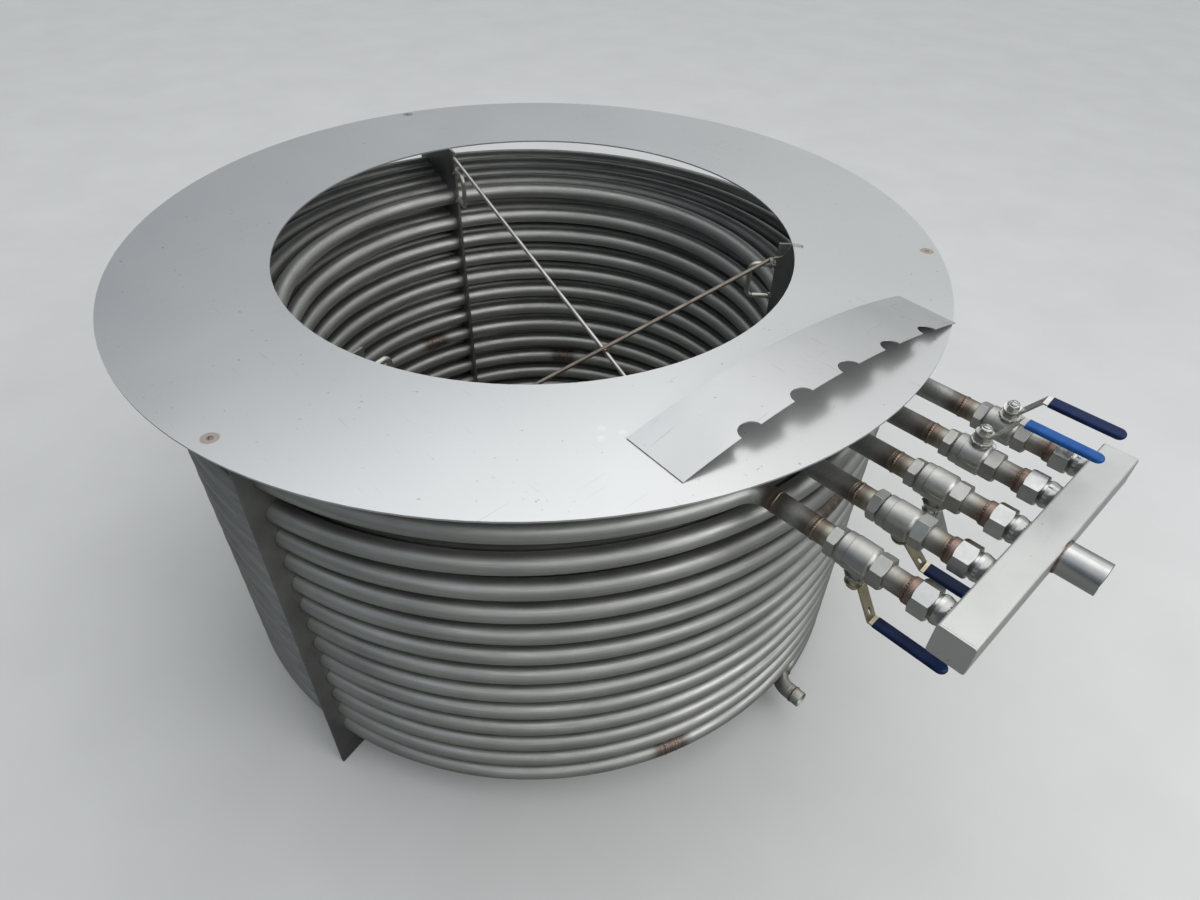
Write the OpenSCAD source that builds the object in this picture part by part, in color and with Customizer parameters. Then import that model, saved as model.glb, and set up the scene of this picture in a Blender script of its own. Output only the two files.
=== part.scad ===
// Coil heat exchanger: five helical layers of tube held by three drilled plates
// that stand on the floor, a flat ring on top, and five pipes that lead through
// ball valves and unions into one square header.
// Millimetres, +Z up. The origin is on the axis of the coil at floor level, and
// the five pipes leave the coil along +X.

/* [Ring] */
// Outside diameter of the flat ring
ring_od = 1500; // [1490:5:1540]
// Diameter of the ring's opening
ring_id = 960; // [930:5:965]
// Thickness of the ring
ring_t = 3; // [2:0.5:6]

/* [Coil] */
// Outside diameter of the tube
tube_od = 33.7; // [30:0.1:34]
// Radius of the outer layer, to the middle of its tube
coil_r = 676; // [670:1:680]
// Distance from one layer to the next
layer_step = 45.25; // [44:0.25:46]
// Height gained in one turn
pitch = 53; // [50:0.5:54]
// Least height at which the lowest turn crosses a plate
foot_room = 60; // [50:1:65]
// How far below the ring a regular turn would cross the first plate at the top
regular_top_drop = 113; // [110:1:120]
// How far below the ring the raised last turn does cross it
raised_top_drop = 97; // [94:1:102]
// How far the outer layer's last turn is raised at the second plate
outer_rise = 28; // [12:1:30]
// How far the inner layer's last turn is raised at the second plate
inner_rise = 12; // [0:1:20]
// How far below the ring the middle of the five pipes lies
pipe_drop = 92; // [85:1:93]
// Bend radius of the elbows
bend_r = 38; // [36:0.5:42]

/* [Support plates] */
// Angle of the first plate about the coil's axis
first_plate_az = -75; // [-80:1:-70]
// Distance from the inner layer's tube, to its middle, to the plates' inner edges
plate_in_margin = 38; // [36:1:45]
// Distance from the outer layer's tube, to its middle, to the plates' outer edges
plate_out_margin = 42; // [36:1:54]
// Thickness of the plates
plate_t = 5; // [4:0.5:8]
// Height of the plates
plate_h = 850; // [840:1:870]
// Room round a tube in its hole
hole_gap = 0.6; // [0.5:0.1:1]

/* [Handles and rods] */
// Diameter of the handles' bar
handle_d = 10; // [8:0.5:12]
// How far a handle stands in from its plate
handle_reach = 47; // [40:1:60]
// How far below the ring the handles' upper arms lie
handle_top_drop = 44; // [35:1:50]
// Distance between a handle's arms
handle_span = 68; // [60:1:90]
// Bend radius of the handles
handle_bend = 12; // [10:0.5:16]
// Diameter of the cross rods
rod_d = 8; // [6:0.5:9]
// How far below the ring the long rod leaves the second plate
long_rod_drop = 15; // [10:1:25]
// How far below the ring the short rod meets the first plate
short_rod_drop = 240; // [210:1:260]

/* [Pipes] */
// Distance between the pipes
pipe_step = 100; // [96:1:104]
// Y of the first pipe
first_pipe_y = -150; // [-156:1:-146]
// How far the pipes reach beyond the outer layer
pipe_reach = 91; // [89:1:99]
// Length of the nipples between the pipes and the valves
inlet_nipple_len = 23; // [21:1:33]
// Y of the low outlet
low_outlet_y = 68; // [60:1:76]
// How far the low outlet reaches beyond the outer layer
low_outlet_reach = 65; // [59:1:84]
// Wall of the low outlet
low_outlet_wall = 2; // [1.5:0.1:3]

/* [Valves] */
// Length of a valve body
valve_len = 86; // [84:1:92]
// Width of the valve's first hexagon across its flats
inlet_af = 41; // [38:0.5:42]
// Length of the valve's first hexagon
inlet_hex_len = 15; // [13:0.5:16]
// Width of the valve's second hexagon across its flats
outlet_af = 43.5; // [42:0.5:45]
// Length of the valve's second hexagon
outlet_hex_len = 20; // [16:0.5:21]
// Diameter of the valve's round middle
valve_d = 50; // [46:0.5:52]
// Distance from the valve's first end to its stem
stem_dx = 47; // [44:0.5:48]
// Diameter of the stem
stem_d = 12; // [10:0.5:13]
// Distance from the pipe's axis to the underside of the lever
lever_low = 44; // [43:0.5:46]
// Distance from the pipe's axis to the middle of the grip
grip_up = 90; // [86:0.5:95]
// Distance from the stem to the end of the grip
grip_end = 150; // [140:1:155]
// Width of the lever
lever_w = 18; // [16:0.5:19]
// Thickness of the lever
lever_t = 3; // [2.5:0.1:3.5]
// Length of the grip
grip_len = 104; // [95:1:108]
// Width of the grip
grip_w = 20; // [19.5:0.1:22]
// Thickness of the grip
grip_t = 9; // [8:0.5:11]

/* [Unions] */
// Width of the union nuts across their flats
nut_af = 45; // [43:0.5:52]
// Length of the union nuts
nut_len = 25; // [22:0.5:32]
// Largest diameter of the polished necks
neck_d = 42; // [38:0.5:44]
// Length of the polished necks
neck_len = 20; // [14:0.5:24]

/* [Header] */
// Side of the square header
header_w = 50; // [46:1:60]
// Wall of the header
header_wall = 3; // [2:0.5:4]
// Length of the header
header_len = 486; // [480:1:500]
// Y of the header's middle
header_y = 48; // [45:1:52]
// Corner radius of the header
header_corner = 4; // [3.5:0.5:6]
// Diameter of the outlet stub
outlet_d = 48.3; // [42:0.1:49]
// Wall of the outlet stub
outlet_wall = 2.6; // [2:0.1:3.2]
// Length of the outlet stub
outlet_len = 55; // [45:1:80]

/* [Loose strip] */
// Length of the strip, in a straight line
strip_chord = 608; // [600:1:612]
// Width of the strip
strip_w = 108; // [100:1:110]
// Thickness of the strip
strip_t = 1.5; // [1:0.1:2]
// How far the strip rises in its middle
strip_rise = 35; // [28:1:42]
// Radius of the strip's notches
notch_r = 18; // [16:0.5:20]
// Distance between the notches
notch_step = 101.5; // [99:0.5:103]
// How far the strip's middle lies in from the ring's outer edge
strip_inset = 135; // [130:1:145]

/* [Hidden] */

// Smoothness of tubes and of large arcs
tube_fn = 48;
arc_fn = 180;
small_fn = 48;

// Colours
ring_colour = [0.72, 0.73, 0.73];
tube_colour = [0.55, 0.55, 0.54];
plate_colour = [0.45, 0.45, 0.44];
cast_colour = [0.62, 0.61, 0.58];
bright_colour = [0.80, 0.80, 0.80];
navy = [0.05, 0.09, 0.27];
bright_blue = [0.05, 0.16, 0.52];

// The coil's layers, arcs and levels
layer_count = 5;
plate_count = 3;
sector = 360 / plate_count;
// As many levels as fit above the room at the foot
levels = floor((plate_h - regular_top_drop - foot_room) / pitch + 1 / plate_count);
arc_count = plate_count * levels - 1;
lowest_az = first_plate_az - arc_count * sector;
// A slit keeps two lengths of tube apart, also where their slopes differ
arc_slit = 0.6;

function layer_r(i) = coil_r - i * layer_step;
inner_layer_r = layer_r(layer_count - 1);
regular_top_z = plate_h - regular_top_drop;
raised_top_z = plate_h - raised_top_drop;
pipe_z = plate_h - pipe_drop;
plate_in_r = inner_layer_r - plate_in_margin;
plate_out_r = coil_r + plate_out_margin;

// Height at which a layer crosses a plate, counted from the top. The last turn
// is raised: fully at the second plate, by half of that at the third.
function full_rise(i) = outer_rise + (inner_rise - outer_rise) * i / (layer_count - 1);
function rise(i, k) = k == 1 ? full_rise(i) : k == 2 ? full_rise(i) / 2 : 0;
function crossing_z(i, k) = k == 0 ? raised_top_z : regular_top_z - k * pitch / plate_count + rise(i, k);

// Widest angle for one length of tube of a layer. A straight line from end to
// end along its inner side comes no closer to the axis than in the inner layer.
inner_half_length = 10.5;
core_r = (inner_layer_r - tube_od / 2) * cos(inner_half_length);
function widest_length(i) = 2 * acos(core_r / (layer_r(i) - tube_od / 2));
function length_count(i, span) = ceil(span / widest_length(i));

// The pipes and where each layer's elbow leaves the coil
function pipe_y(i) = first_pipe_y + i * pipe_step;
function elbow_az(i) = asin((pipe_y(i) - bend_r) / (layer_r(i) + bend_r));
function elbow_out_x(i) = (layer_r(i) + bend_r) * cos(elbow_az(i));
pipe_end_x = coil_r + pipe_reach;

// The low outlet of the outer layer
low_az = asin((low_outlet_y + bend_r) / (coil_r + bend_r));
low_lead = first_plate_az + sector - low_az;
low_z = crossing_z(0, arc_count) - pitch * low_lead / 360;
low_out_x = (coil_r + bend_r) * cos(low_az);
low_outlet_end_x = coil_r + low_outlet_reach;
low_bore_depth = 30;

// The valves: angle of each stem from straight up, towards +Y
stem_az = [180, 160, 180, 0, -14];
valve_x = pipe_end_x + inlet_nipple_len;
valve_end_x = valve_x + valve_len;
stem_x = valve_x + stem_dx;
shoulder = 4;
hex_root = 0.5;
seam_x = valve_x + 0.36 * valve_len;
seam_step = 0.9;
boss_d = 25;
boss_up = 33;
gland_af = 22;
gland_len = 6;
stem_gap = 0.3;
stem_foot = 22;
washer_d = 19;
stem_nut_af = 17;
stem_nut_len = 7;
stem_tip = 3;
hub_d = 26;
slope_from = 12;
slope_to = 39;
lever_hole_d = 6;
grip_play = 0.1;

// The unions
outlet_nipple_end_x = valve_end_x + 29;
tail_len = 10;
tail_d = 39;
nut_x = outlet_nipple_end_x + tail_len;
neck_x = nut_x + nut_len;
header_x = neck_x + neck_len;
neck_end_d = 36;

// The strip's arc, its place on the ring and its notches
strip_r = (strip_chord * strip_chord / 4 + strip_rise * strip_rise) / (2 * strip_rise);
strip_half = asin(strip_chord / 2 / strip_r);
strip_centre = [ring_od / 2 - strip_inset, 7];
strip_az = 86.2;
strip_rest = 0.2;
notch_centre = 18.4;

// The cross rods. The short one runs from the top of the third plate's handle
// to the first plate. The long one runs from the second plate, passes close
// under the short one and ends just inside the inner layer.
rod_gap = 0.2;
rod_end_gap = 4;
handle_rest = 0.6;
rod_start = 2;
short_rod_start = 12;
crossing_share = 0.46;
handle_top_z = plate_h - handle_top_drop;
function at_az(r, az, z) = [r * cos(az), r * sin(az), z];
short_rod_z = handle_top_z + (handle_d + rod_d) / 2 + handle_rest;
short_rod_from = at_az(plate_in_r - short_rod_start, first_plate_az - 2 * sector, short_rod_z);
short_rod_to = at_az(plate_in_r - rod_start, first_plate_az, plate_h - short_rod_drop);
short_rod_way = short_rod_to - short_rod_from;
rods_cross = short_rod_from + crossing_share * short_rod_way;
long_rod_from = at_az(plate_in_r - rod_start, first_plate_az - sector, plate_h - long_rod_drop);
rods_normal = cross(short_rod_way, rods_cross - long_rod_from);
rods_apart = (rod_d + rod_gap) * rods_normal / norm(rods_normal);
long_rod_through = rods_cross + (rods_normal[2] > 0 ? -rods_apart : rods_apart);
long_rod_over = inner_layer_r;

// Length of tube along part of the helix: an arc that is tilted about the radius
// through its middle, so that its ends lie at the two given heights.
module helix_arc(r, from_az, to_az, from_z, to_z) {
  span = to_az - from_az;
  tilt = asin((to_z - from_z) / (2 * r * sin(span / 2)));
  trim = arc_slit / 2 / r * 180 / PI;
  translate([0, 0, (from_z + to_z) / 2])
    rotate([0, 0, (from_az + to_az) / 2])
      rotate([tilt, 0, 0])
        rotate_extrude(angle = span - 2 * trim, start = trim - span / 2, $fn = arc_fn)
          translate([r, 0])
            circle(d = tube_od, $fn = tube_fn);
}

// Stretch of a layer between two angles, made of equal lengths of tube
module helix_run(i, from_az, to_az, from_z, to_z) {
  count = length_count(i, to_az - from_az);
  az_step = (to_az - from_az) / count;
  z_step = (to_z - from_z) / count;
  for (n = [0 : count - 1])
    helix_arc(layer_r(i),
      from_az + n * az_step, from_az + (n + 1) * az_step,
      from_z + n * z_step, from_z + (n + 1) * z_step);
}

// One layer: a lead to the elbow, the sectors between the plates, and a foot
module coil_layer(i) {
  color(tube_colour) {
    helix_run(i, first_plate_az, elbow_az(i), crossing_z(i, 0), pipe_z);
    for (k = [0 : arc_count - 1])
      helix_run(i,
        first_plate_az - (k + 1) * sector, first_plate_az - k * sector,
        crossing_z(i, k + 1), crossing_z(i, k));
    helix_run(i, lowest_az - low_lead, lowest_az, low_z, crossing_z(i, arc_count));
  }
}

// Flat elbow that turns from the circle of a layer to the +X direction. It
// turns to the right (way = 1) at the top and to the left (way = -1) below.
module elbow(r, az, way) {
  turn = 90 + way * az;
  translate([(r + bend_r) * cos(az), (r + bend_r) * sin(az), 0])
    rotate_extrude(angle = turn, start = way > 0 ? 90 : az + 180, $fn = arc_fn)
      translate([bend_r, 0])
        circle(d = tube_od, $fn = tube_fn);
}

// Solid bar along X
module rod_x(d, from_x, to_x) {
  translate([from_x, 0, 0])
    rotate([0, 90, 0])
      cylinder(d = d, h = to_x - from_x, $fn = small_fn);
}

// Hexagonal bar along X with both rims turned down to a chamfer
module hex_x(af, from_x, to_x) {
  len = to_x - from_x;
  corner_d = af / cos(30);
  rim = (corner_d - af) / 2;
  translate([from_x, 0, 0])
    rotate([0, 90, 0])
      intersection() {
        cylinder(d = corner_d, h = len, $fn = 6);
        rotate_extrude($fn = small_fn)
          polygon([
            [0, 0], [af / 2, 0], [corner_d / 2, rim / 2],
            [corner_d / 2, len - rim / 2], [af / 2, len], [0, len]
          ]);
      }
}

// Places a piece on pipe i, with +X along the pipe and +Z along the valve's stem
module on_pipe(i, turn) {
  translate([0, pipe_y(i), pipe_z])
    rotate([-turn, 0, 0])
      children();
}

module ring_plate() {
  color(ring_colour)
    translate([0, 0, plate_h])
      difference() {
        cylinder(d = ring_od, h = ring_t, $fn = 256);
        translate([0, 0, -1])
          cylinder(d = ring_id, h = ring_t + 2, $fn = 256);
      }
}

// One radial plate. Its first hole from the top is at crossing number first_k.
module support_plate(first_k) {
  az = first_plate_az - first_k * sector;
  color(plate_colour)
    rotate([0, 0, az])
      difference() {
        translate([plate_in_r, -plate_t / 2, 0])
          cube([plate_out_r - plate_in_r, plate_t, plate_h]);
        for (i = [0 : layer_count - 1], n = [0 : levels - 1])
          translate([layer_r(i), 0, crossing_z(i, first_k + n * plate_count)])
            rotate([90, 0, 0])
              cylinder(d = tube_od + 2 * hole_gap, h = plate_t + 2, center = true, $fn = tube_fn);
      }
}

module support_plate_front() {
  support_plate(0);
}

module support_plate_right() {
  support_plate(2);
}

module support_plate_back() {
  support_plate(1);
}

// One U-shaped handle in the plane of its plate, from the plate's inner edge
module handle() {
  leg = handle_reach - handle_bend;
  in_r = plate_in_r - handle_reach;
  low_arm_z = handle_top_z - handle_span;
  for (z = [low_arm_z, handle_top_z])
    translate([0, 0, z])
      rod_x(handle_d, plate_in_r - leg, plate_in_r);
  translate([in_r, 0, low_arm_z + handle_bend])
    cylinder(d = handle_d, h = handle_span - 2 * handle_bend, $fn = small_fn);
  translate([in_r + handle_bend, 0, handle_top_z - handle_bend])
    rotate([90, 0, 0])
      rotate_extrude(angle = 90, start = 90, $fn = small_fn)
        translate([handle_bend, 0])
          circle(d = handle_d, $fn = small_fn);
  translate([in_r + handle_bend, 0, low_arm_z + handle_bend])
    rotate([90, 0, 0])
      rotate_extrude(angle = 90, start = 180, $fn = small_fn)
        translate([handle_bend, 0])
          circle(d = handle_d, $fn = small_fn);
}

module lifting_handles() {
  color(bright_colour)
    for (k = [0 : plate_count - 1])
      rotate([0, 0, first_plate_az - k * sector])
        handle();
}

// Round bar between two points, made longer at both ends by the given amounts
module bar(from, to, more_before, more_after) {
  v = to - from;
  len = norm(v);
  translate(from)
    rotate([0, acos(v[2] / len), atan2(v[1], v[0])])
      translate([0, 0, -more_before])
        cylinder(d = rod_d, h = len + more_before + more_after, $fn = small_fn);
}

// All that lies outside the inner edge of the plate at the given angle
module beyond_plate_edge(az) {
  rotate([0, 0, az])
    translate([plate_in_r, -handle_reach, 0])
      cube([2 * handle_reach, 2 * handle_reach, plate_h]);
}

module cross_rod_long() {
  color(bright_colour)
    intersection() {
      difference() {
        bar(long_rod_from, long_rod_through, handle_reach, long_rod_over);
        beyond_plate_edge(first_plate_az - sector);
      }
      cylinder(r = inner_layer_r - tube_od / 2 - rod_end_gap, h = plate_h, $fn = arc_fn);
    }
}

module cross_rod_short() {
  color(bright_colour)
    difference() {
      bar(short_rod_from, short_rod_to, 0, handle_reach);
      beyond_plate_edge(first_plate_az);
    }
}

module coil_layer_1_outer() {
  coil_layer(0);
}

module coil_layer_2() {
  coil_layer(1);
}

module coil_layer_3() {
  coil_layer(2);
}

module coil_layer_4() {
  coil_layer(3);
}

module coil_layer_5_inner() {
  coil_layer(4);
}

module top_elbows() {
  color(tube_colour)
    translate([0, 0, pipe_z])
      for (i = [0 : layer_count - 1])
        elbow(layer_r(i), elbow_az(i), 1);
}

module connection_pipes() {
  color(tube_colour)
    for (i = [0 : layer_count - 1])
      on_pipe(i, 0)
        rod_x(tube_od, elbow_out_x(i), pipe_end_x);
}

// Elbow and short pipe at the foot of the outer layer, with an open end
module low_outlet() {
  color(tube_colour)
    translate([0, 0, low_z])
      difference() {
        union() {
          elbow(coil_r, low_az, -1);
          translate([0, low_outlet_y, 0])
            rod_x(tube_od, low_out_x, low_outlet_end_x);
        }
        translate([0, low_outlet_y, 0])
          rod_x(tube_od - 2 * low_outlet_wall, low_outlet_end_x - low_bore_depth, low_outlet_end_x + 1);
      }
}

module valve_inlet_nipples() {
  color(tube_colour)
    for (i = [0 : layer_count - 1])
      on_pipe(i, 0)
        rod_x(tube_od, pipe_end_x, valve_x);
}

module valve_outlet_nipples() {
  color(tube_colour)
    for (i = [0 : layer_count - 1])
      on_pipe(i, 0)
        rod_x(tube_od, valve_end_x, outlet_nipple_end_x);
}

// Two-piece cast ball valve: a hexagon at each end, a round middle of two
// diameters that meet at a seam, and a boss with a gland for the stem.
module valve_body(i) {
  hex_end = valve_x + inlet_hex_len;
  hex_start = valve_end_x - outlet_hex_len;
  r = valve_d / 2;
  r_in = inlet_af / 2 - hex_root;
  r_out = outlet_af / 2 - hex_root;
  r_cap = r - seam_step;
  color(cast_colour)
    on_pipe(i, stem_az[i])
      difference() {
        union() {
          hex_x(inlet_af, valve_x, hex_end);
          hex_x(outlet_af, hex_start, valve_end_x);
          rotate([0, 90, 0])
            rotate_extrude($fn = 96)
              polygon([
                [0, hex_end - shoulder / 2], [r_in, hex_end - shoulder / 2],
                [r_in, hex_end], [r_cap - shoulder / 4, hex_end + shoulder / 2],
                [r_cap, hex_end + shoulder], [r_cap, seam_x], [r, seam_x],
                [r, hex_start - shoulder], [r_out, hex_start],
                [r_out, hex_start + shoulder / 2], [0, hex_start + shoulder / 2]
              ]);
          translate([stem_x, 0, 0])
            cylinder(d = boss_d, h = boss_up, $fn = small_fn);
          translate([stem_x, 0, boss_up])
            cylinder(d = gland_af / cos(30), h = gland_len, $fn = 6);
        }
        translate([stem_x, 0, stem_foot])
          cylinder(d = stem_d + 2 * stem_gap, h = lever_low, $fn = small_fn);
      }
}

module valve_body_1() {
  valve_body(0);
}

module valve_body_2() {
  valve_body(1);
}

module valve_body_3() {
  valve_body(2);
}

module valve_body_4() {
  valve_body(3);
}

module valve_body_5() {
  valve_body(4);
}

// Stem with the washer under the lever and the nut that holds the lever
module valve_stem(i) {
  lever_top = lever_low + lever_t;
  washer_low = boss_up + gland_len + stem_gap;
  color(bright_colour)
    on_pipe(i, stem_az[i])
      translate([stem_x, 0, 0]) {
        translate([0, 0, stem_foot + stem_gap])
          cylinder(d = stem_d, h = lever_top + stem_nut_len + stem_tip - stem_foot - stem_gap, $fn = small_fn);
        translate([0, 0, washer_low])
          cylinder(d = washer_d, h = lever_low - washer_low, $fn = small_fn);
        translate([0, 0, lever_top])
          cylinder(d = stem_nut_af / cos(30), h = stem_nut_len, $fn = 6);
      }
}

module valve_stem_1() {
  valve_stem(0);
}

module valve_stem_2() {
  valve_stem(1);
}

module valve_stem_3() {
  valve_stem(2);
}

module valve_stem_4() {
  valve_stem(3);
}

module valve_stem_5() {
  valve_stem(4);
}

// Side view of the bent lever strip. Its middle line runs flat at the hub, up
// the slope, and flat again through the grip.
module lever_side(end_s) {
  hub_h = lever_low + lever_t / 2;
  half = lever_t / 2;
  slope = atan2(grip_up - hub_h, slope_to - slope_from);
  shift = half * tan(slope / 2);
  polygon([
    [-hub_d, hub_h - half], [slope_from + shift, hub_h - half],
    [slope_to + shift, grip_up - half], [end_s, grip_up - half],
    [end_s, grip_up + half], [slope_to - shift, grip_up + half],
    [slope_from - shift, hub_h + half], [-hub_d, hub_h + half]
  ]);
}

// Lever of a valve: a strip with a round hub, a hole for the stem and one for a lock
module valve_lever(i) {
  tail_end = grip_end - lever_w;
  hole_s = slope_to - lever_hole_d;
  color(cast_colour)
    on_pipe(i, stem_az[i])
      translate([stem_x, 0, 0])
        difference() {
          intersection() {
            rotate([90, 0, 0])
              linear_extrude(height = 2 * hub_d, center = true)
                lever_side(tail_end);
            linear_extrude(height = 2 * grip_up)
              union() {
                circle(d = hub_d, $fn = small_fn);
                translate([0, -lever_w / 2])
                  square([tail_end, lever_w]);
              }
          }
          cylinder(d = stem_d + 2 * grip_play, h = grip_up, $fn = small_fn);
          translate([hole_s, 0, 0])
            cylinder(d = lever_hole_d, h = 2 * grip_up, $fn = small_fn);
        }
}

module valve_lever_1() {
  valve_lever(0);
}

module valve_lever_2() {
  valve_lever(1);
}

module valve_lever_3() {
  valve_lever(2);
}

module valve_lever_4() {
  valve_lever(3);
}

module valve_lever_5() {
  valve_lever(4);
}

// Section of the grip across the lever: flat faces and fully round edges
module grip_section() {
  flat = grip_w - grip_t;
  union() {
    square([flat, grip_t], center = true);
    for (side = [-1, 1])
      translate([side * flat / 2, 0])
        circle(d = grip_t, $fn = small_fn);
  }
}

// Soft grip with a slot for the lever and a round end
module lever_grip(i, colour) {
  straight = grip_len - grip_w / 2;
  tip_s = grip_end - grip_w / 2;
  color(colour)
    on_pipe(i, stem_az[i])
      translate([stem_x, 0, grip_up])
        difference() {
          union() {
            translate([tip_s - straight, 0, 0])
              rotate([90, 0, 90])
                linear_extrude(height = straight)
                  grip_section();
            translate([tip_s, 0, 0])
              rotate_extrude(angle = 180, start = -90, $fn = small_fn)
                intersection() {
                  grip_section();
                  translate([0, -grip_t])
                    square([grip_w, 2 * grip_t]);
                }
          }
          translate([0, -lever_w / 2 - grip_play, -lever_t / 2 - grip_play])
            cube([grip_end - lever_w + grip_play, lever_w + 2 * grip_play, lever_t + 2 * grip_play]);
        }
}

module lever_grip_1() {
  lever_grip(0, navy);
}

module lever_grip_2() {
  lever_grip(1, navy);
}

module lever_grip_3() {
  lever_grip(2, navy);
}

module lever_grip_4() {
  lever_grip(3, bright_blue);
}

module lever_grip_5() {
  lever_grip(4, navy);
}

module union_tails() {
  color(tube_colour)
    for (i = [0 : layer_count - 1])
      on_pipe(i, 0)
        rod_x(tail_d, outlet_nipple_end_x, nut_x);
}

module union_nuts() {
  color(bright_colour)
    for (i = [0 : layer_count - 1])
      on_pipe(i, 0)
        hex_x(nut_af, nut_x, neck_x);
}

// Bulged necks between the nuts and the header
module union_necks() {
  quarter = neck_len / 4;
  color(bright_colour)
    for (i = [0 : layer_count - 1])
      on_pipe(i, 0)
        translate([neck_x, 0, 0])
          rotate([0, 90, 0])
            rotate_extrude($fn = 96)
              polygon([
                [0, 0], [neck_end_d / 2, 0], [neck_d / 2, quarter],
                [neck_d / 2, 2 * quarter], [neck_end_d / 2, neck_len], [0, neck_len]
              ]);
}

// Square with round corners
module rounded_square(w, r) {
  union() {
    square([w, w - 2 * r], center = true);
    square([w - 2 * r, w], center = true);
    for (x = [-1, 1], y = [-1, 1])
      translate([x * (w / 2 - r), y * (w / 2 - r)])
        circle(r = r, $fn = small_fn);
  }
}

// Square tube between its end caps, with a hole for the outlet
module header_box() {
  body_len = header_len - 2 * header_wall;
  color(bright_colour)
    translate([header_x + header_w / 2, header_y, pipe_z])
      difference() {
        rotate([90, 0, 0])
          linear_extrude(height = body_len, center = true)
            difference() {
              rounded_square(header_w, header_corner);
              square(header_w - 2 * header_wall, center = true);
            }
        rod_x(outlet_d - 2 * outlet_wall, 0, header_w);
      }
}

module header_end_caps() {
  color(bright_colour)
    for (side = [-1, 1])
      translate([header_x + header_w / 2, header_y + side * (header_len - header_wall) / 2, pipe_z])
        rotate([90, 0, 0])
          linear_extrude(height = header_wall, center = true)
            rounded_square(header_w, header_corner);
}

module outlet_stub() {
  color(bright_colour)
    translate([header_x + header_w, header_y, pipe_z])
      difference() {
        rod_x(outlet_d, 0, outlet_len);
        rod_x(outlet_d - 2 * outlet_wall, -1, outlet_len + 1);
      }
}

// Arched strip that lies loose on the ring, with five half-round notches in the
// edge on the pipes' side
module cover_strip() {
  rest_z = plate_h + ring_t + strip_rest;
  color(ring_colour)
    translate([strip_centre[0], strip_centre[1], rest_z])
      rotate([0, 0, strip_az])
        difference() {
          translate([0, 0, strip_rise - strip_r])
            rotate([90, 0, 0])
              rotate_extrude(angle = 2 * strip_half, start = 90 - strip_half, $fn = 256)
                translate([strip_r, -strip_w / 2])
                  square([strip_t, strip_w]);
          for (n = [-2 : 2])
            translate([notch_centre + n * notch_step, -strip_w / 2, -1])
              cylinder(r = notch_r, h = strip_rise + strip_t + 2, $fn = small_fn);
        }
}

ring_plate();
support_plate_front();
support_plate_right();
support_plate_back();
lifting_handles();
cross_rod_long();
cross_rod_short();
coil_layer_1_outer();
coil_layer_2();
coil_layer_3();
coil_layer_4();
coil_layer_5_inner();
top_elbows();
connection_pipes();
low_outlet();
valve_inlet_nipples();
valve_outlet_nipples();
valve_body_1();
valve_body_2();
valve_body_3();
valve_body_4();
valve_body_5();
valve_stem_1();
valve_stem_2();
valve_stem_3();
valve_stem_4();
valve_stem_5();
valve_lever_1();
valve_lever_2();
valve_lever_3();
valve_lever_4();
valve_lever_5();
lever_grip_1();
lever_grip_2();
lever_grip_3();
lever_grip_4();
lever_grip_5();
union_tails();
union_nuts();
union_necks();
header_box();
header_end_caps();
outlet_stub();
cover_strip();
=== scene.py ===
# %% [markdown]
# # A coil heat exchanger, finished for a picture
# The real object is a tank heater: five layers of stainless tube, wound round
# each other, stand on three plates under a flat ring. The solid parts are
# already built to size. Here they get the looks of mill-finished steel, welds,
# castings and soft grips, and the round tubes are made again with one smooth
# sweep, because a wound tube shows every break in its highlight.

# %% Load the solid parts
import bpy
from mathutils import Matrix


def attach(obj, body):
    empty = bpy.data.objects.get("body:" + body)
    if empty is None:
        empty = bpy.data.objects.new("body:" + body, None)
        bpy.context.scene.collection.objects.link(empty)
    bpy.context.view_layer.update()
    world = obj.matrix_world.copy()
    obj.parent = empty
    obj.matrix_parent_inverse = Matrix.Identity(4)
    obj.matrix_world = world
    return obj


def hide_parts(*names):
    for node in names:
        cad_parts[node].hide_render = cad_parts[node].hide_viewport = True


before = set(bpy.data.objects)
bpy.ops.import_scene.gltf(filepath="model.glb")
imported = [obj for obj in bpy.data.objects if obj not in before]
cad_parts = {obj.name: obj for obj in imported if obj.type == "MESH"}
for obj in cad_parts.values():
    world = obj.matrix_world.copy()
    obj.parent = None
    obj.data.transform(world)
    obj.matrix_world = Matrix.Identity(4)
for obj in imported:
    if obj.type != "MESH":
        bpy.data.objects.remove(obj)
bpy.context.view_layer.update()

# %% [markdown]
# ## Making a piece from points
# Most pieces here are worked out as lists of points and faces in millimetres,
# as a maker's drawing gives them. One small tool turns such lists into a mesh
# in metres, gives it a finish and lets it ride on a body of the solid model.

# %% Tools that the cells below share
import math

import bmesh
import bpy
import numpy as np
from mathutils import Matrix, Vector
from mathutils import noise as mathutils_noise

MM = 0.001
STATIC = "coil_and_header"


def at_angle(radius, degrees, height):
    """Point at a radius, an angle about the coil's axis and a height, all in mm."""
    turn = math.radians(degrees)
    return np.array([radius * math.cos(turn), radius * math.sin(turn), height])


def keep_mesh(name, verts, faces, finish, body=STATIC, smooth=True, marks=None):
    """Makes a piece from points in mm, gives it a finish and a body to ride on."""
    mesh = bpy.data.meshes.new(name)
    mesh.from_pydata([tuple(float(c) * MM for c in v) for v in verts], [], faces)
    mesh.validate()
    if smooth:
        mesh.shade_smooth()
    for mark, values in (marks or {}).items():
        layer = mesh.attributes.new(mark, "FLOAT", "POINT")
        layer.data.foreach_set("value", np.asarray(values, np.float32))
    piece = bpy.data.objects.new(name, mesh)
    bpy.context.scene.collection.objects.link(piece)
    mesh.materials.append(finish)
    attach(piece, body)
    return piece


print("a quarter turn at 100 mm:", at_angle(100.0, 90.0, 0.0).round(1))

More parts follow.
